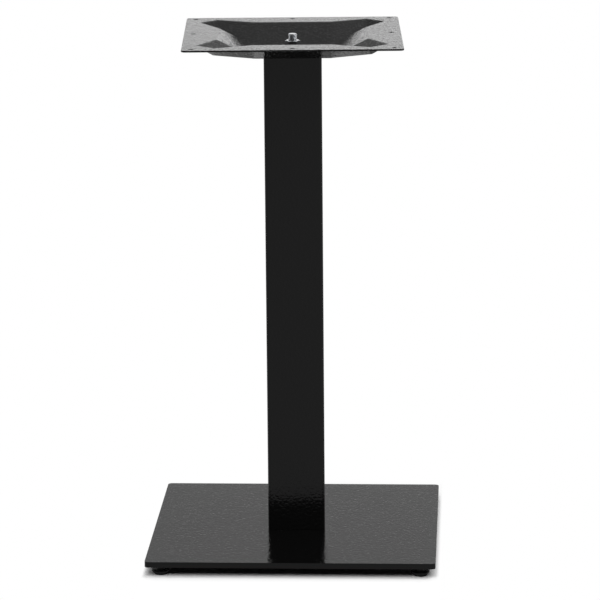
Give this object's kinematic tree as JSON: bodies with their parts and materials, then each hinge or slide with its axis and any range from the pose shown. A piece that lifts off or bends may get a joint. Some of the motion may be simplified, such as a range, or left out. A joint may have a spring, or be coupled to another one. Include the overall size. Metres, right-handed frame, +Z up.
{
  "type": "table base",
  "caption": "Square pedestal table base: flat foot plate, square column and dished top plate on one tie rod, with screw-in levelling feet.",
  "frame": {"origin": "on the floor under the middle of the column, with the four feet screwed right in until their bolts meet the ends of their holes", "axes": "+Z up along the column, X and Y along the sides of the column and the top plate; the front faces -Y"},
  "size_m": [0.4192, 0.4192, 0.725],
  "materials": {
    "black_powder_coat": "satin",
    "bright_zinc_plating": "polished",
    "black_nylon": "matte"
  },
  "bodies": {
    "frame": {"base_plate": "black_powder_coat", "column_tube": "black_powder_coat", "column_foot_plate": "black_powder_coat", "column_head_plate": "black_powder_coat", "top_plate": "black_powder_coat", "tie_rod": "bright_zinc_plating", "top_washer": "bright_zinc_plating", "top_spring_washer": "bright_zinc_plating", "top_nut": "bright_zinc_plating", "bottom_washer": "bright_zinc_plating", "bottom_nut": "bright_zinc_plating"},
    "foot_front_left": {"foot_pad_front_left": "black_nylon", "foot_bolt_front_left": "bright_zinc_plating"},
    "foot_front_right": {"foot_pad_front_right": "black_nylon", "foot_bolt_front_right": "bright_zinc_plating"},
    "foot_back_left": {"foot_pad_back_left": "black_nylon", "foot_bolt_back_left": "bright_zinc_plating"},
    "foot_back_right": {"foot_pad_back_right": "black_nylon", "foot_bolt_back_right": "bright_zinc_plating"}
  },
  "joints": [
    {"name": "foot_front_left_height", "type": "slide", "parent": "frame", "child": "foot_front_left", "axis": [0, 0, -1], "range_m": [0, 0.004]},
    {"name": "foot_front_right_height", "type": "slide", "parent": "frame", "child": "foot_front_right", "axis": [0, 0, -1], "range_m": [0, 0.004]},
    {"name": "foot_back_left_height", "type": "slide", "parent": "frame", "child": "foot_back_left", "axis": [0, 0, -1], "range_m": [0, 0.004]},
    {"name": "foot_back_right_height", "type": "slide", "parent": "frame", "child": "foot_back_right", "axis": [0, 0, -1], "range_m": [0, 0.004]}
  ]
}
